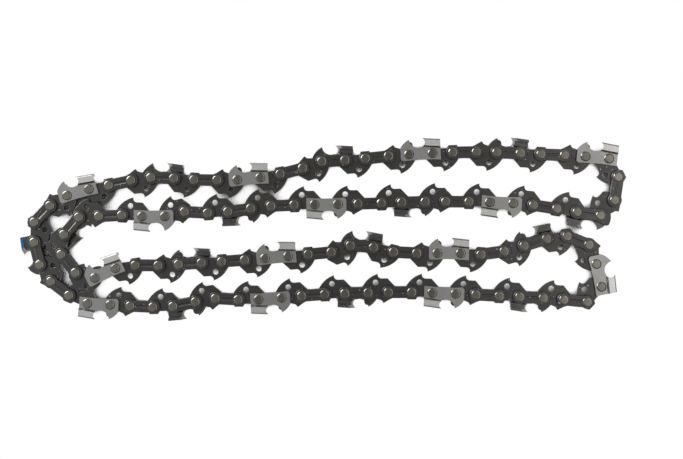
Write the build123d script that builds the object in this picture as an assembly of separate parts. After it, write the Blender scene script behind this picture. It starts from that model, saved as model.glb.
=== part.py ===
from build123d import *
import os
from math import atan2, degrees, hypot, radians, sqrt, tan

# Low-profile saw chain in a closed loop, lying on its side and folded into two hairpins.
# Millimetres. X runs along the folded loop, Y across it, Z up from the surface that it lies on.
# Links are numbered along the loop against the cutting direction: even numbers are drive links,
# odd numbers are pairs of side plates. Link n joins rivet n to rivet n + 1.

# Chain
PAIRS = 56              # drive links, and as many pairs of side plates
DRIVE_SPAN = 8.89       # between the two rivets of a drive link
SIDE_SPAN = 10.16       # between the two rivets of a strap or a cutter
GAUGE = 1.27            # thickness of a drive link, which runs in the bar's groove
PLATE = 1.27            # thickness of a strap or a cutter
SIDE_PLAY = 0.12        # gap between a drive link and the plate on each side

# Rivet: a hub that the drive link turns on, and two stubs peened over the plates
HUB_RADIUS = 2.0
STUB_RADIUS = 1.5
HEAD_RADIUS = 2.15
HEAD_TOP_RADIUS = 1.5   # of the flat on the head
HEAD_HEIGHT = 0.6
HEAD_RIM = 0.25         # height of the head's upright edge, below the slope
HEAD_BULGE = 0.04       # by which the slope stands out from a straight line
HUB_CLEARANCE = 0.06    # radial, in a drive link's hole
OPEN_CLEARANCE = 0.12   # radial, in the hole of a pivot where the loop is opened
STUB_CLEARANCE = 0.02   # radial, in a plate's hole

# Drive link, seen from the side: x to the rear, y away from the bar
DRIVE_END = 2.8         # radius of its ends around the rivets
HEEL_DEPTH = 2.6        # where the front flank leaves the front end
SHOULDER_DEPTH = 6.05
SHOULDER_FRONT = 4.1    # ahead of the link's middle
SHOULDER_REAR = 1.3     # ahead of the link's middle
TANG_DEPTH = 8.1
TANG_TIP = 0.1          # behind the link's middle
TANG_NOTCH = (-0.3, -6.55)  # point on the curve between shoulder and tip
REAR_FLANK = (4.5, -5.75)
REAR_FLANK_DEPTH = 2.0  # where the rear flank meets the rear end
OIL_HOLE_RADIUS = 1.2
OIL_HOLE_AT = (1.2, -4.35)
WAIST_HEIGHT = 2.0      # top edge of a plain drive link between its rivets
LUG_HEIGHT = 3.25
LUG_HALF = 1.8
LUG_SLOPE = 0.8
BUMPER_HEIGHT = 4.8     # tip of the ramp that guards the cutter behind it
BUMPER_TIP = 2.3        # behind the front rivet
BUMPER_DROP = (3.1, 3.6)
BUMPER_START = (-2.2, 2.2)
HUMP_TOP = (0.5, 5.5)   # the hump beside the cutter's depth gauge, from the rear rivet
HUMP_BACK = (1.6, 4.9)
HUMP_REAR = (1.9, 3.7)
HUMP_FRONT = (-2.1, 4.3)
HUMP_START = (-3.6, 2.8)

# Tie strap
STRAP_END = 3.05        # radius of its ends around the rivets
STRAP_HALF = 2.55       # half its width between the rivets
STRAP_EDGE = 0.25       # bevel around its outer face
GROOVE_RADIUS = 1.3     # of the hollow along its outer face
GROOVE_DEPTH = 0.2
GROOVE_GAP = 0.3        # from the hollow's ends to the rivet heads

# Cutter, measured from its front rivet
CUTTER_FRONT = -3.7
CUTTER_REAR = 13.7
CUTTER_FOOT = -2.95     # lower corners
CUTTER_FOOT_MIDDLE = -2.55
CUTTER_CORNER = 1.2     # rounding of the front lower corner
GAUGE_TIP = (0.2, 6.35)     # top of the depth gauge
GAUGE_NOSE = (-2.0, 4.95)   # point on its rounded front
GAUGE_TOE = 2.8         # height at which the front turns upright
GULLET_REAR = 4.4
GULLET_HEIGHT = 2.8
GULLET_BEND = (1.75, 3.55)
TOP_FRONT = 6.9         # height of the top plate at the gullet
TOP_START = 5.0         # where the top plate begins, before it is filed
TOP_THICK = 1.2
TOP_OVERLAP = 0.6       # how far the top plate reaches past the chain's middle plane
TOP_CORNER = 0.8        # rounding between the top plate and the flared side
TOP_RELIEF = 6.0        # degrees by which the top plate falls to the rear
FLARE = 1.15            # how far the side stands out from the plate
FLARE_FOOT = 2.95       # height of the bend below the flare, at the gullet
FLARE_RISE = 0.8        # height of the bend itself
FLARE_LAP = 0.1         # how far the flare's section reaches down into the flat plate
FILE_RADIUS = 2.0
FILE_REACH = 8.0        # more than the size of what the file takes away
FILE_AT = (4.7, 4.95)   # the file's axis on the flare's outer face
FILE_ANGLE = 30.0       # degrees, the angle of the filed top plate

# Lay of the loop. The inner fold rests on the tangs of the outer fold, and the links on both
# sides of it climb to that height by a little less than their side play, one after the other.
FOLD_MIDDLE = 56        # link at the middle of the inner fold
FOLD_LEVEL = 5          # links on each side of it that lie level
FOLD_CLEARANCE = 0.13   # between the tangs that lie on each other
CLIMB = 0.1             # from one link to the next

# Route of the rivet line, starting at the outer fold's left side and running over the top
ROUTE_STEP = 0.1        # of the way between two points, for the search along it
ROUTE = [
    (-127.0, -6.0), (-127.0, 2.5), (-120.0, 10.0), (-112.5, 14.5), (-94.0, 19.0), (-75.0, 22.5),
    (-56.0, 21.5), (-27.0, 22.5), (-8.5, 26.5), (0.0, 29.5), (10.0, 30.0), (38.0, 32.5), (67.0, 33.5),
    (95.0, 32.5), (114.0, 31.5), (124.0, 30.5), (128.0, 22.5), (126.5, 12.5), (120.5, 6.0), (110.5, 7.5),
    (91.5, 10.5), (53.5, 12.0), (15.5, 11.0), (-22.5, 10.0), (-50.0, 7.0), (-60.5, 7.5), (-69.0, 5.5),
    (-88.0, 6.0), (-98.0, 5.5), (-107.0, 5.0), (-113.5, -3.0), (-114.5, -11.5), (-108.0, -19.5),
    (-99.5, -21.5), (-90.0, -17.0), (-71.0, -16.0), (-33.5, -13.5), (-5.5, -11.0), (4.5, -10.0),
    (13.0, -7.0), (31.5, -10.0), (61.0, -10.5), (69.5, -11.0), (88.5, -7.0), (98.0, -4.0), (107.0, -3.0),
    (116.0, -7.0), (119.0, -15.5), (121.0, -25.0), (115.0, -31.5), (105.0, -30.5), (77.0, -29.0),
    (39.0, -27.5), (1.5, -28.5), (-36.5, -31.0), (-46.5, -30.5), (-65.0, -34.0), (-93.0, -33.5),
    (-103.0, -33.0), (-111.5, -29.5), (-119.5, -23.5), (-124.5, -16.0)]

# Stretches of the loop that move as one, each with the link that it starts at
STRETCHES = [
    ("fold", 0), ("upper_outer", 19), ("upper_bend", 28), ("upper_inner", 33), ("fold", 42),
    ("lower_inner", 66), ("lower_bend", 83), ("lower_outer", 85), ("fold", 101)]
OPEN_PIVOTS = (42, 66)  # rivets at which the two hairpins are open

LINKS = 2 * PAIRS
PLATE_INSIDE = GAUGE / 2 + SIDE_PLAY
PLATE_OUTSIDE = PLATE_INSIDE + PLATE
CHAIN_MIDDLE = PLATE_OUTSIDE + FLARE    # height of the chain's middle plane on the surface
FOLD_LIFT = GAUGE + FOLD_CLEARANCE


def route_slopes():
    """Length of each span of the route, and the direction of the route at each of its points."""
    count = len(ROUTE)
    spans = []
    for i in range(count):
        here, after = ROUTE[i], ROUTE[(i + 1) % count]
        spans.append(hypot(after[0] - here[0], after[1] - here[1]))
    slopes = []
    for i in range(count):
        before, here, after = ROUTE[i - 1], ROUTE[i], ROUTE[(i + 1) % count]
        back, ahead = spans[i - 1], spans[i]
        slope = []
        for k in (0, 1):
            rise_back = (here[k] - before[k]) / back
            rise_ahead = (after[k] - here[k]) / ahead
            slope.append((rise_ahead * back + rise_back * ahead) / (back + ahead))
        slopes.append(slope)
    return spans, slopes


SPANS, SLOPES = route_slopes()


def route_point(t):
    """Point of the closed route, with t counting its points."""
    i = int(t) % len(ROUTE)
    j = (i + 1) % len(ROUTE)
    f = t - int(t)
    start = 2 * f**3 - 3 * f**2 + 1
    end = 3 * f**2 - 2 * f**3
    leave = (f**3 - 2 * f**2 + f) * SPANS[i]
    arrive = (f**3 - f**2) * SPANS[i]
    point = []
    for k in (0, 1):
        point.append(start * ROUTE[i][k] + end * ROUTE[j][k] + leave * SLOPES[i][k] + arrive * SLOPES[j][k])
    return point


def link_span(link):
    return DRIVE_SPAN if link % 2 == 0 else SIDE_SPAN


def step_along(t, length):
    """The place on the route that is a straight length away from place t."""
    x, y = route_point(t)
    low = high = t
    while True:
        high += ROUTE_STEP
        ahead = route_point(high)
        if hypot(ahead[0] - x, ahead[1] - y) > length:
            break
        low = high
    for _ in range(40):
        middle = (low + high) / 2
        ahead = route_point(middle)
        if hypot(ahead[0] - x, ahead[1] - y) > length:
            high = middle
        else:
            low = middle
    return (low + high) / 2


def walk(scale):
    """Rivets of a chain that walks the scaled route, and where on the route it ends."""
    t = 0.0
    rivets = []
    for link in range(LINKS):
        x, y = route_point(t)
        rivets.append((x * scale, y * scale))
        t = step_along(t, link_span(link) / scale)
    return rivets, t


def lay_rivets():
    """Rivets of the loop: the route is scaled a little until the chain closes on it."""
    low, high = 0.5, 2.0
    for _ in range(45):
        scale = (low + high) / 2
        rivets, end = walk(scale)
        if end > len(ROUTE):
            low = scale
        else:
            high = scale
    return rivets


def link_height(link):
    """Height of a link's middle plane."""
    from_fold = max(0, abs(link - FOLD_MIDDLE) - FOLD_LEVEL)
    return CHAIN_MIDDLE + max(0.0, FOLD_LIFT - CLIMB * from_fold)


def plate(outline, holes, thickness, bottom):
    """A flat plate from its outline and its round holes, each a centre and a radius."""
    face = outline
    for (x, y), radius in holes:
        face -= Pos(x, y) * Circle(radius)
    return Pos(0, 0, bottom) * extrude(face, thickness, dir=(0, 0, 1))


def drive_link(bumper, front_gap, rear_gap):
    """A drive link, with the clearance of its two holes."""
    front, rear = -DRIVE_SPAN / 2, DRIVE_SPAN / 2
    slant = DRIVE_END * sqrt(0.5)
    tip = (TANG_TIP, -TANG_DEPTH)
    notch = (-SHOULDER_REAR, -SHOULDER_DEPTH)
    flank_end = (rear + DRIVE_END, -REAR_FLANK_DEPTH)
    lower = [
        Polyline((front - DRIVE_END, 0), (front - DRIVE_END, -HEEL_DEPTH),
                 (-SHOULDER_FRONT, -SHOULDER_DEPTH), notch),
        ThreePointArc(notch, TANG_NOTCH, tip),
        ThreePointArc(tip, REAR_FLANK, flank_end),
        Line(flank_end, (rear + DRIVE_END, 0))]
    if bumper:
        hump_rear, hump_back, hump_top, hump_front, hump_start = [
            (rear + x, y) for x, y in (HUMP_REAR, HUMP_BACK, HUMP_TOP, HUMP_FRONT, HUMP_START)]
        upper = [
            Line((rear + DRIVE_END, 0), hump_rear),
            ThreePointArc(hump_rear, hump_back, hump_top),
            ThreePointArc(hump_top, hump_front, hump_start),
            Polyline(hump_start, (front + BUMPER_DROP[0], BUMPER_DROP[1]),
                     (front + BUMPER_TIP, BUMPER_HEIGHT), (front + BUMPER_START[0], BUMPER_START[1]),
                     (front - DRIVE_END, 0))]
    else:
        neck = sqrt(DRIVE_END**2 - WAIST_HEIGHT**2)
        upper = [
            Polyline((rear + DRIVE_END, 0), (rear + LUG_HALF + LUG_SLOPE, WAIST_HEIGHT),
                     (rear + LUG_HALF, LUG_HEIGHT), (rear - LUG_HALF, LUG_HEIGHT),
                     (rear - LUG_HALF - LUG_SLOPE, WAIST_HEIGHT), (front + neck, WAIST_HEIGHT)),
            ThreePointArc((front + neck, WAIST_HEIGHT), (front - slant, slant), (front - DRIVE_END, 0))]
    holes = [((front, 0), HUB_RADIUS + front_gap), ((rear, 0), HUB_RADIUS + rear_gap),
             (OIL_HOLE_AT, OIL_HOLE_RADIUS)]
    return plate(make_face(lower + upper), holes, GAUGE, -GAUGE / 2)


def plate_holes(front):
    """The two rivet holes of a strap or a cutter, from where its front rivet is."""
    return [((x, 0), STUB_RADIUS + STUB_CLEARANCE) for x in (front, front + SIDE_SPAN)]


def tie_strap():
    """A strap for the near side."""
    end = SIDE_SPAN / 2
    neck = end - sqrt(STRAP_END**2 - STRAP_HALF**2)
    tip = end + STRAP_END
    edges = [
        Line((-neck, -STRAP_HALF), (neck, -STRAP_HALF)),
        ThreePointArc((neck, -STRAP_HALF), (tip, 0), (neck, STRAP_HALF)),
        Line((neck, STRAP_HALF), (-neck, STRAP_HALF)),
        ThreePointArc((-neck, STRAP_HALF), (-tip, 0), (-neck, -STRAP_HALF))]
    blank = extrude(make_face(edges), PLATE, dir=(0, 0, 1))
    blank = chamfer(blank.faces().sort_by(Axis.Z)[-1].edges(), STRAP_EDGE)
    length = SIDE_SPAN - 2 * (HEAD_RADIUS + GROOVE_GAP)
    groove = Pos(0, 0, PLATE - GROOVE_DEPTH + GROOVE_RADIUS) * Rot(0, 90, 0) * Cylinder(GROOVE_RADIUS, length)
    strap = blank - groove
    for (x, y), radius in plate_holes(-end):
        strap -= Pos(x, y, PLATE / 2) * Cylinder(radius, 2 * PLATE)
    return Pos(0, 0, PLATE_INSIDE) * strap


def cutter_plate():
    """The flat side of a cutter with its depth gauge, x from the front rivet."""
    fall = tan(radians(TOP_RELIEF))
    rear_top = FLARE_FOOT - fall * (CUTTER_REAR - TOP_START)
    toe = (CUTTER_FRONT, GAUGE_TOE)
    gullet = (GULLET_REAR, GULLET_HEIGHT)
    edges = [
        ThreePointArc((CUTTER_FRONT, CUTTER_FOOT), (SIDE_SPAN / 2, CUTTER_FOOT_MIDDLE),
                      (CUTTER_REAR, CUTTER_FOOT)),
        Polyline((CUTTER_REAR, CUTTER_FOOT), (CUTTER_REAR, rear_top), (TOP_START, FLARE_FOOT), gullet),
        ThreePointArc(gullet, GULLET_BEND, GAUGE_TIP),
        ThreePointArc(GAUGE_TIP, GAUGE_NOSE, toe),
        Line(toe, (CUTTER_FRONT, CUTTER_FOOT))]
    outline = make_face(edges).face()
    corner = outline.vertices().sort_by_distance((CUTTER_FRONT, CUTTER_FOOT))[0]
    return plate(outline.fillet_2d(CUTTER_CORNER, [corner]), plate_holes(0), PLATE, PLATE_INSIDE)


def cutter_top():
    """The flared side and the top plate of a cutter before filing, x from the front rivet."""
    out = PLATE_OUTSIDE + FLARE
    under = PLATE_INSIDE + FLARE
    bend = FLARE_FOOT + FLARE_RISE
    foot = FLARE_FOOT - FLARE_LAP
    section = [
        Polyline((foot, PLATE_OUTSIDE), (FLARE_FOOT, PLATE_OUTSIDE), (bend, out),
                 (TOP_FRONT - TOP_CORNER, out)),
        RadiusArc((TOP_FRONT - TOP_CORNER, out), (TOP_FRONT, out - TOP_CORNER), TOP_CORNER),
        Polyline((TOP_FRONT, out - TOP_CORNER), (TOP_FRONT, -TOP_OVERLAP),
                 (TOP_FRONT - TOP_THICK, -TOP_OVERLAP), (TOP_FRONT - TOP_THICK, under), (bend, under),
                 (FLARE_FOOT, PLATE_INSIDE), (foot, PLATE_INSIDE), (foot, PLATE_OUTSIDE))]
    length = CUTTER_REAR - TOP_START
    fall = length * tan(radians(TOP_RELIEF))
    run = hypot(length, fall)
    face = Plane.YZ * make_face(section)
    return Pos(TOP_START, 0, 0) * extrude(face, run, dir=(length / run, -fall / run, 0))


def file_cut():
    """What the round file takes away in front of the top plate's edge, x from the front rivet."""
    edges = [
        ThreePointArc((0, -FILE_RADIUS), (FILE_RADIUS, 0), (0, FILE_RADIUS)),
        Polyline((0, FILE_RADIUS), (0, FILE_REACH), (-FILE_REACH, FILE_REACH), (-FILE_REACH, -FILE_RADIUS),
                 (0, -FILE_RADIUS))]
    bar = Pos(0, 0, -FILE_REACH) * extrude(make_face(edges), 2 * FILE_REACH, dir=(0, 0, 1))
    place = Pos(FILE_AT[0], FILE_AT[1], PLATE_OUTSIDE + FLARE)
    return place * Rot(0, -FILE_ANGLE, 0) * bar


def left_cutter():
    """A cutter for the near side, about the middle between its rivets."""
    top = cutter_top() - file_cut()
    return Pos(-SIDE_SPAN / 2, 0, 0) * (cutter_plate() + top)


def rivet():
    """A rivet about the middle plane of the pair of plates that it holds."""
    head = PLATE_OUTSIDE + HEAD_HEIGHT
    rim = (HEAD_RADIUS, PLATE_OUTSIDE + HEAD_RIM)
    edges = [
        Polyline((HUB_RADIUS, 0), (0, 0), (0, head), (HEAD_TOP_RADIUS, head)),
        SagittaArc((HEAD_TOP_RADIUS, head), rim, HEAD_BULGE),
        Polyline(rim, (HEAD_RADIUS, PLATE_OUTSIDE), (STUB_RADIUS, PLATE_OUTSIDE), (STUB_RADIUS, PLATE_INSIDE),
                 (HUB_RADIUS, PLATE_INSIDE), (HUB_RADIUS, 0))]
    half = revolve(Plane.XZ * make_face(edges), Axis.Z)
    return half + mirror(half, about=Plane.XY)


def stretch_of(link):
    """Name of the stretch that a link belongs to."""
    return [name for name, start in STRETCHES if start <= link][-1]


def placed(shape, link, rivets):
    """A copy of a link's shape, laid between its two rivets."""
    (x0, y0), (x1, y1) = rivets[link], rivets[(link + 1) % LINKS]
    turn = degrees(atan2(y1 - y0, x1 - x0))
    return shape.moved(Location(((x0 + x1) / 2, (y0 + y1) / 2, link_height(link)), (0, 0, turn)))


def hole_gap(pivot):
    return OPEN_CLEARANCE if pivot in OPEN_PIVOTS else HUB_CLEARANCE


def build_nodes(rivets):
    """Every link and rivet of the loop, grouped by stretch and kind."""
    near_strap = tie_strap()
    far_strap = mirror(near_strap, about=Plane.XY)
    near_cutter = left_cutter()
    far_cutter = mirror(near_cutter, about=Plane.XY)
    pin = rivet()
    left_hand = range(3, LINKS, 8)
    right_hand = range(7, LINKS, 8)
    nodes = {}

    def add(link, kind, shape):
        nodes.setdefault(stretch_of(link) + "_" + kind, []).append(shape)

    for link in range(LINKS):
        if link % 2 == 0:
            bumper = link // 2 % 2 == 1
            kind = "bumper_links" if bumper else "drive_links"
            shape = drive_link(bumper, hole_gap(link), hole_gap(link + 1))
            add(link, kind, placed(shape, link, rivets))
            continue
        near, far = (near_strap, "tie_straps"), (far_strap, "tie_straps")
        if link in left_hand:
            near = (near_cutter, "left_cutters")
        if link in right_hand:
            far = (far_cutter, "marked_cutter" if link == right_hand[-1] else "right_cutters")
        for shape, kind in (near, far):
            add(link, kind, placed(shape, link, rivets))
        for pivot in (link, link + 1):
            x, y = rivets[pivot % LINKS]
            add(link, "rivets", pin.moved(Location((x, y, link_height(link)))))
    return nodes


RIVETS = lay_rivets()
NODES = build_nodes(RIVETS)
BOX = Compound([shape for shapes in NODES.values() for shape in shapes]).bounding_box()
TO_MIDDLE = Location((-BOX.center().X, -BOX.center().Y, 0))

os.makedirs("parts", exist_ok=True)
for node, shapes in NODES.items():
    solids = [shape.solid().moved(TO_MIDDLE) for shape in shapes]
    export_step(Compound(solids) if len(solids) > 1 else solids[0], "parts/" + node + ".step")
print("nodes", len(NODES), "size", BOX.size)
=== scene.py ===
import bpy
import math
from mathutils import Matrix, Vector

# Looks of the saw chain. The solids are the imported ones, with their edges rounded by modifiers.
# Metres, in the part's frame: X along the hairpins, Z up.

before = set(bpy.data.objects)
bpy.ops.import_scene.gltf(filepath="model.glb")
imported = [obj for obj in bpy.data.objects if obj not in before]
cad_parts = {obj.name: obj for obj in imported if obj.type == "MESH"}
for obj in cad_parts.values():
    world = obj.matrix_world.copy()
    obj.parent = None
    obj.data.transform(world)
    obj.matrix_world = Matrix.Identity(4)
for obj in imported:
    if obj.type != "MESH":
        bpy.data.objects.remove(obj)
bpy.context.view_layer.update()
scene = bpy.context.scene
scene.view_settings.view_transform = "Standard"

# Camera, from the photograph: it stands almost straight above the loop, and leans a little
PHOTO_WIDTH = 683       # pixels
FOCAL_LENGTH = 1140.0   # pixels
SENSOR = 36.0           # millimetres
CAMERA_AT = (0.02804, 0.01555, 0.5023)
CAMERA_LEAN = (-1.764, 2.134)   # degrees, about X and about Y

# Edges
WELD = 2e-6
LINK_EDGE = 0.0002
CUTTER_EDGE = 0.0002
RIVET_EDGE = 0.00004
EDGE_SEGMENTS = 2
FLAT_ANGLE = 1.0        # degrees: faces that turn less from one to the next are joined
EDGE_ANGLE = 25.0       # degrees: edges that turn more are rounded
SMOOTH_ANGLE = 32.0     # degrees: edges that turn less are shaded smooth
NORMAL_WEIGHT = 100     # large faces keep their own normals

# Faces, by how far they look up or down
UP = 1.0
DOWN = -1.0
FLAT = 0.95             # a face that looks up or down by more than this is flat
UPRIGHT = 0.2           # a face that looks up or down by less than this is upright
LEVEL = 0.0003          # flat faces that belong to one level differ less in height

# Slots of a piece's finishes. Slot 0 is the plain finish
EDGE_SLOT = 1
SIDE_SLOT = 2
END_SLOT = 3

# Metal. Scales are per metre, and ranges are levels of a noise
CLOUD_SCALE = 120.0
CLOUD_RANGE = (0.35, 0.65)
GRAIN_RANGE = (0.3, 0.7)
GRAIN_SHADE = (0.86, 1.1)       # the grain darkens or brightens the colour by this factor
PIECE_SHADE = (-0.06, 0.06)     # added to that factor, at random for each solid
SPECK_SCALE = 900.0
SPECK_BLUR = 0.03
ROUGH_RANGE = (0.7, 1.3)        # of grain and cloud together
RELIEF = 0.00004

# Floor: white where it is open, and shaded paper close to the chain
WHITE = (1.0, 1.0, 1.0)
FLOOR_REACH = 1.5
FLOOR_DROP = 0.00002            # keeps the floor clear of the faces that lie on it
FLOOR_IN_METAL = 0.6            # how much of the white floor the metal reflects
OPEN_DISTANCE = 0.009           # what lies further off leaves the floor open
OPEN_RANGE = (0.335, 0.385)     # openness over which paper turns into white floor
LIGHT_WAY = (-0.25, 0.72, 0.65)
LIGHT_DISTANCE = 0.012          # what lies further off leaves the paper in the light
LIGHT_RANGE = (0.36, 0.52)      # openness towards the light over which dim paper turns pale
DIM_PAPER = (0.13, 0.12, 0.11)
PALE_PAPER = (0.80, 0.80, 0.80)
OPEN_SAMPLES = 24

# Room light, by direction. A band is from, to, level at from and level at to
WINDOW_RISE = (0.45, 0.97, 1.0, 0.0)        # over Z: the window's light ends below the zenith
WINDOW_SIDE = (-0.9, 0.9, 0.08, 0.42)       # over Y less X: the window is at the upper left
OVERHEAD_RISE = (0.74, 0.92, 0.0, 1.0)      # over Z: both overhead lights are near the zenith
OVERHEAD_LEFT = (-0.45, -0.05, 1.1, 0.0)    # over X
OVERHEAD_RIGHT = (0.11, 0.26, 0.0, 2.0)     # over X
HORIZON = (0.04, 0.28, 0.3, 0.0)            # over Z
ROOM = 0.17
COOL_SIDE = (-0.4, -0.1, 1.0, 0.0)          # over X: light from the left is cooler
COOL = (0.93, 0.98, 1.05)

# Key lamp
KEY_AT = (-0.50, 0.34, 0.30)
KEY_AIM = (0.0, 0.0, 0.0)
KEY_SIZE = 0.42
KEY_POWER = 5.0
KEY_COLOUR = (1.0, 0.99, 0.97)

# Sockets of a node that mixes colours, by number because their names repeat
MIX_FACTOR = 0
MIX_FIRST = 6
MIX_SECOND = 7
MIX_RESULT = 2


def rgba(colour):
    """The colour as a socket takes it, with full alpha."""
    return (*colour, 1.0)


class Nodes:
    """A short way to write node trees: new(kind, inputs, settings) adds a node and wires its inputs."""

    def __init__(self, tree):
        self.tree = tree
        tree.nodes.clear()

    def new(self, kind, inputs=None, **settings):
        node = self.tree.nodes.new(kind)
        for key, value in settings.items():
            setattr(node, key, value)
        for key, value in (inputs or {}).items():
            socket = node.inputs[key]
            if isinstance(value, bpy.types.NodeSocket):
                self.tree.links.new(value, socket)
            else:
                socket.default_value = value
        return node

    def noise(self, where, scale, detail=3.0, rough=0.55):
        inputs = {"Vector": where, "Scale": scale, "Detail": detail, "Roughness": rough}
        return self.new("ShaderNodeTexNoise", inputs).outputs["Fac"]

    def band(self, value, low, high, to_low=0.0, to_high=1.0):
        """value taken from low..high to to_low..to_high, held at both ends."""
        inputs = {"Value": value, "From Min": low, "From Max": high, "To Min": to_low, "To Max": to_high}
        return self.new("ShaderNodeMapRange", inputs).outputs["Result"]

    def math(self, what, a, b=0.0):
        return self.new("ShaderNodeMath", {0: a, 1: b}, operation=what).outputs[0]

    def mix(self, factor, first, second):
        """The first colour where factor is 0, and the second where it is 1."""
        inputs = {MIX_FACTOR: factor, MIX_FIRST: first, MIX_SECOND: second}
        return self.new("ShaderNodeMix", inputs, data_type="RGBA").outputs[MIX_RESULT]

    def openness(self, distance, normal=None):
        """How little of the view along a normal is blocked by what is nearer than distance, from 0 to 1."""
        inputs = {"Distance": distance}
        if normal:
            inputs["Normal"] = normal
        return self.new("ShaderNodeAmbientOcclusion", inputs, samples=OPEN_SAMPLES).outputs["AO"]


def metal(name, plain, worn, speck, rough, grain, speck_cut, bump):
    """Steel with two cloudy colours, fine grain and small specks, all in the part's frame.

    rough is its least and greatest roughness, grain the scale of its grain, speck_cut the level of
    noise above which there is a speck, and bump the strength of the grain's relief.
    """
    material = bpy.data.materials.new(name)
    material.use_nodes = True
    n = Nodes(material.node_tree)
    where = n.new("ShaderNodeTexCoord").outputs["Object"]
    island = n.new("ShaderNodeNewGeometry").outputs["Random Per Island"]
    cloud = n.noise(where, CLOUD_SCALE)
    fine = n.noise(where, grain, detail=5.0, rough=0.65)
    spots = n.noise(where, SPECK_SCALE, detail=2.0, rough=0.5)
    colour = n.mix(n.band(cloud, *CLOUD_RANGE), rgba(plain), rgba(worn))
    grain_shade = n.band(fine, *GRAIN_RANGE, *GRAIN_SHADE)
    shade = n.math("ADD", grain_shade, n.band(island, 0.0, 1.0, *PIECE_SHADE))
    colour = n.new("ShaderNodeVectorMath", {"Vector": colour, "Scale": shade}, operation="SCALE").outputs[0]
    colour = n.mix(n.band(spots, speck_cut, speck_cut + SPECK_BLUR), colour, rgba(speck))
    roughness = n.band(n.math("ADD", fine, cloud), *ROUGH_RANGE, *rough)
    relief = n.new("ShaderNodeBump", {"Height": fine, "Strength": bump, "Distance": RELIEF}).outputs[0]
    inputs = {"Base Color": colour, "Roughness": roughness, "Normal": relief, "Metallic": 1.0}
    shader = n.new("ShaderNodeBsdfPrincipled", inputs).outputs[0]
    n.new("ShaderNodeOutputMaterial", {"Surface": shader})
    return material


def modifier_group(name):
    """A new geometry node group, its node writer and the geometry that comes in."""
    group = bpy.data.node_groups.new(name, "GeometryNodeTree")
    group.interface.new_socket("Geometry", in_out="INPUT", socket_type="NodeSocketGeometry")
    group.interface.new_socket("Geometry", in_out="OUTPUT", socket_type="NodeSocketGeometry")
    n = Nodes(group)
    return group, n, n.new("NodeGroupInput").outputs[0]


def smooth_shading():
    """Shades smooth, apart from edges over SMOOTH_ANGLE."""
    group, n, mesh = modifier_group("smooth_shading")
    mesh = n.new("GeometryNodeSetShadeSmooth", {"Geometry": mesh}, domain="FACE").outputs[0]
    angle = n.new("GeometryNodeInputMeshEdgeAngle").outputs["Unsigned Angle"]
    inputs = {0: angle, 1: math.radians(SMOOTH_ANGLE)}
    soft = n.new("FunctionNodeCompare", inputs, operation="LESS_THAN").outputs[0]
    inputs = {"Geometry": mesh, "Shade Smooth": soft}
    mesh = n.new("GeometryNodeSetShadeSmooth", inputs, domain="EDGE").outputs[0]
    n.new("NodeGroupOutput", {0: mesh})
    return group


def pick(n, mesh, faces, slot):
    """Gives the picked faces the finish in a slot."""
    inputs = {"Geometry": mesh, "Selection": faces, "Material Index": slot}
    return n.new("GeometryNodeSetMaterialIndex", inputs).outputs[0]


def face_values(n):
    """How far a face looks up, from -1 to 1, and its height."""
    normal = n.new("GeometryNodeInputNormal").outputs["Normal"]
    place = n.new("GeometryNodeInputPosition").outputs[0]
    return [n.new("ShaderNodeSeparateXYZ", {0: v}).outputs["Z"] for v in (normal, place)]


def cutter_faces(name, outer, end):
    """Finishes of a cutter's inner side, which is darker, and of the flat faces at its upper or lower end.

    outer says whether its outer side looks up or down, and end which end is meant. That is where the
    flared side lies on most cutters, which gets a painted highlight, and the edge of the top plate on the
    marked one, which gets a painted blue reflection.
    """
    group, n, mesh = modifier_group(name)
    up, height = face_values(n)
    inner = n.math("LESS_THAN", n.math("MULTIPLY", up, outer), -FLAT)
    mesh = pick(n, mesh, inner, SIDE_SLOT)
    island = n.new("GeometryNodeInputMeshIsland").outputs["Island Index"]
    inputs = {"Value": height, "Group ID": island}
    limits = n.new("GeometryNodeFieldMinAndMax", inputs, domain="FACE").outputs
    furthest = limits["Max"] if end == UP else limits["Min"]
    at_end = n.math("LESS_THAN", n.math("ABSOLUTE", n.math("SUBTRACT", height, furthest)), LEVEL)
    looking = n.math("GREATER_THAN", n.math("MULTIPLY", up, end), FLAT)
    mesh = pick(n, mesh, n.math("MULTIPLY", at_end, looking), END_SLOT)
    n.new("NodeGroupOutput", {0: mesh})
    return group


def rivet_faces():
    """The slope of a rivet's head is burnished."""
    group, n, mesh = modifier_group("rivet_slopes")
    up = n.math("ABSOLUTE", face_values(n)[0])
    slope = n.math("MULTIPLY", n.math("GREATER_THAN", up, UPRIGHT), n.math("LESS_THAN", up, FLAT))
    mesh = pick(n, mesh, slope, SIDE_SLOT)
    n.new("NodeGroupOutput", {0: mesh})
    return group


def dress(node, materials, edge, faces):
    """A CAD node's finish: welded, its flats joined, its edges rounded and worn, and its faces' finishes."""
    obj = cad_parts[node]
    obj.data.materials.clear()
    for material in materials:
        obj.data.materials.append(material)
    weld = obj.modifiers.new("weld", "WELD")
    weld.merge_threshold = WELD
    flats = obj.modifiers.new("flats", "DECIMATE")
    flats.decimate_type = "DISSOLVE"
    flats.angle_limit = math.radians(FLAT_ANGLE)
    bevel = obj.modifiers.new("edges", "BEVEL")
    bevel.width = edge
    bevel.segments = EDGE_SEGMENTS
    bevel.limit_method = "ANGLE"
    bevel.angle_limit = math.radians(EDGE_ANGLE)
    bevel.material = EDGE_SLOT
    if faces:
        obj.modifiers.new("faces", "NODES").node_group = faces
    obj.modifiers.new("smooth", "NODES").node_group = SMOOTH
    normals = obj.modifiers.new("normals", "WEIGHTED_NORMAL")
    normals.mode = "FACE_AREA"
    normals.weight = NORMAL_WEIGHT
    normals.keep_sharp = True


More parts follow.
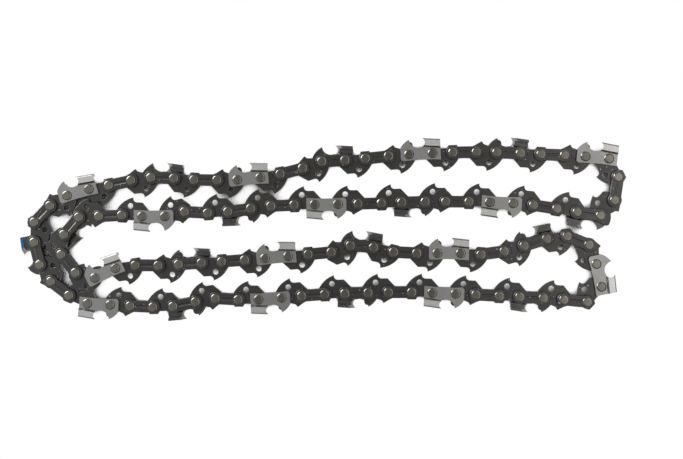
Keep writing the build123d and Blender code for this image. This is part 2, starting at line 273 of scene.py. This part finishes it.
SMOOTH = smooth_shading()
LINK_STEEL = metal(
    "link_steel", plain=(0.083, 0.0795, 0.074), worn=(0.068, 0.066, 0.062), speck=(0.45, 0.44, 0.42),
    rough=(0.26, 0.40), grain=2600.0, speck_cut=0.71, bump=0.25)
LINK_WORN = metal(
    "link_edge", plain=(0.20, 0.197, 0.19), worn=(0.13, 0.13, 0.128), speck=(0.45, 0.44, 0.42),
    rough=(0.24, 0.34), grain=2600.0, speck_cut=0.71, bump=0.2)
CUTTER_CHROME = metal(
    "cutter_chrome", plain=(0.345, 0.338, 0.321), worn=(0.305, 0.299, 0.284), speck=(0.25, 0.25, 0.24),
    rough=(0.28, 0.38), grain=3200.0, speck_cut=0.78, bump=0.2)
CUTTER_WORN = metal(
    "cutter_edge", plain=(0.52, 0.52, 0.515), worn=(0.46, 0.46, 0.46), speck=(0.4, 0.4, 0.4),
    rough=(0.30, 0.40), grain=3200.0, speck_cut=0.78, bump=0.2)
# A darker finish for a cutter's inner side.
CUTTER_INSIDE = metal(
    "cutter_inside", plain=(0.12, 0.118, 0.115), worn=(0.09, 0.09, 0.088), speck=(0.42, 0.41, 0.39),
    rough=(0.26, 0.40), grain=2800.0, speck_cut=0.76, bump=0.25)
# Painted highlight: the flare's chrome is made lighter than the plate's, standing for the light its leaning
# face catches.
CUTTER_FLARE_HIGHLIGHT = metal(
    "cutter_flare_painted_highlight", plain=(0.60, 0.59, 0.565), worn=(0.54, 0.53, 0.51), speck=(0.42, 0.42, 0.40),
    rough=(0.30, 0.40), grain=3200.0, speck_cut=0.78, bump=0.2)
RIVET_BRONZE = metal(
    "rivet_bronze", plain=(0.21, 0.195, 0.155), worn=(0.165, 0.155, 0.125), speck=(0.5, 0.47, 0.4),
    rough=(0.20, 0.30), grain=3000.0, speck_cut=0.76, bump=0.15)
RIVET_RIM = metal(
    "rivet_rim", plain=(0.22, 0.21, 0.185), worn=(0.18, 0.172, 0.155), speck=(0.5, 0.47, 0.4),
    rough=(0.16, 0.24), grain=3000.0, speck_cut=0.76, bump=0.1)
# Painted reflection: the blue that the marked cutter's chrome top plate edge reflects, put into its colour.
BLUE_PAINTED_REFLECTION = metal(
    "blued_steel", plain=(0.02, 0.14, 0.38), worn=(0.018, 0.12, 0.34), speck=(0.2, 0.35, 0.55),
    rough=(0.30, 0.44), grain=3000.0, speck_cut=0.8, bump=0.2)

# Finishes by the ending of a node's name: materials in the order of their slots, edge and faces
LINK = [LINK_STEEL, LINK_WORN]
RIVET = [RIVET_BRONZE, RIVET_RIM, RIVET_RIM]
CUTTER = [CUTTER_CHROME, CUTTER_WORN, CUTTER_INSIDE, CUTTER_FLARE_HIGHLIGHT]
# The marked cutter, with the painted blue reflection in its end slot.
BLUE_REFLECTION_CUTTER = [CUTTER_CHROME, CUTTER_WORN, CUTTER_INSIDE, BLUE_PAINTED_REFLECTION]
FINISH = {
    "links": (LINK, LINK_EDGE, None),
    "straps": (LINK, LINK_EDGE, None),
    "rivets": (RIVET, RIVET_EDGE, rivet_faces()),
    "left_cutters": (CUTTER, CUTTER_EDGE, cutter_faces("left_cutter", outer=UP, end=UP)),
    "right_cutters": (CUTTER, CUTTER_EDGE, cutter_faces("right_cutter", outer=DOWN, end=DOWN)),
    "marked_cutter": (BLUE_REFLECTION_CUTTER, CUTTER_EDGE, cutter_faces("marked_cutter", outer=DOWN, end=UP))}
for name in sorted(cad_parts):
    for ending, finish in FINISH.items():
        if name.endswith(ending):
            dress(name, *finish)


def floor_material():
    """White where the floor is open, and paper close to the chain.

    The paper is dim where the chain stands between it and the light, as under the oil holes.
    """
    material = bpy.data.materials.new("floor")
    material.use_nodes = True
    n = Nodes(material.node_tree)
    path = n.new("ShaderNodeLightPath").outputs
    mirrored = n.math("MAXIMUM", path["Is Glossy Ray"], path["Is Transmission Ray"])
    seen = n.math("MAXIMUM", path["Is Camera Ray"], n.math("MULTIPLY", mirrored, FLOOR_IN_METAL))
    open_floor = n.band(n.openness(OPEN_DISTANCE), *OPEN_RANGE)
    glow = n.new("ShaderNodeEmission", {"Color": rgba(WHITE), "Strength": 1.0}).outputs[0]
    light = n.new("ShaderNodeCombineXYZ", dict(zip("XYZ", LIGHT_WAY))).outputs[0]
    lit = n.band(n.openness(LIGHT_DISTANCE, light), *LIGHT_RANGE)
    shade = n.mix(lit, rgba(DIM_PAPER), rgba(PALE_PAPER))
    paper = n.new("ShaderNodeBsdfDiffuse", {"Color": shade}).outputs[0]
    white = n.math("MULTIPLY", seen, open_floor)
    both = n.new("ShaderNodeMixShader", {0: white, 1: paper, 2: glow}).outputs[0]
    n.new("ShaderNodeOutputMaterial", {"Surface": both})
    return material


def make_floor():
    mesh = bpy.data.meshes.new("floor")
    corners = [(x * FLOOR_REACH, y * FLOOR_REACH, 0) for x, y in ((-1, -1), (1, -1), (1, 1), (-1, 1))]
    mesh.from_pydata(corners, [], [(0, 1, 2, 3)])
    mesh.materials.append(floor_material())
    floor = bpy.data.objects.new("floor", mesh)
    floor.location.z = -FLOOR_DROP
    scene.collection.objects.link(floor)


def make_world():
    """A dim room with a window at the upper left and two overhead lights. The camera sees it white."""
    world = bpy.data.worlds.new("studio")
    world.use_nodes = True
    n = Nodes(world.node_tree)
    way = n.new("ShaderNodeTexCoord").outputs["Generated"]
    x, y, z = n.new("ShaderNodeSeparateXYZ", {0: way}).outputs
    side = n.band(n.math("SUBTRACT", y, x), *WINDOW_SIDE)
    window = n.math("MULTIPLY", n.band(z, *WINDOW_RISE), side)
    lights = n.math("ADD", n.band(x, *OVERHEAD_LEFT), n.band(x, *OVERHEAD_RIGHT))
    overhead = n.math("MULTIPLY", lights, n.band(z, *OVERHEAD_RISE))
    room = n.math("ADD", window, overhead)
    room = n.math("ADD", n.math("ADD", room, n.band(z, *HORIZON)), ROOM)
    level = n.math("MAXIMUM", room, n.new("ShaderNodeLightPath").outputs["Is Camera Ray"])
    tint = n.mix(n.band(x, *COOL_SIDE), rgba(WHITE), rgba(COOL))
    back = n.new("ShaderNodeBackground", {"Color": tint, "Strength": level}).outputs[0]
    n.new("ShaderNodeOutputWorld", {"Surface": back})
    scene.world = world


def make_key_lamp():
    data = bpy.data.lights.new("key", "AREA")
    data.size = KEY_SIZE
    data.energy = KEY_POWER
    data.color = KEY_COLOUR
    obj = bpy.data.objects.new("key", data)
    obj.location = KEY_AT
    obj.rotation_euler = (Vector(KEY_AIM) - Vector(KEY_AT)).to_track_quat("-Z", "Y").to_euler()
    scene.collection.objects.link(obj)


def make_camera():
    data = bpy.data.cameras.new("camera")
    data.sensor_width = SENSOR
    data.lens = SENSOR * FOCAL_LENGTH / PHOTO_WIDTH
    camera = bpy.data.objects.new("camera", data)
    lean_x, lean_y = [math.radians(a) for a in CAMERA_LEAN]
    turn = Matrix.Rotation(lean_y, 4, "Y") @ Matrix.Rotation(lean_x, 4, "X")
    camera.matrix_world = Matrix.Translation(CAMERA_AT) @ turn
    scene.collection.objects.link(camera)
    scene.camera = camera


make_floor()
make_world()
make_key_lamp()
make_camera()
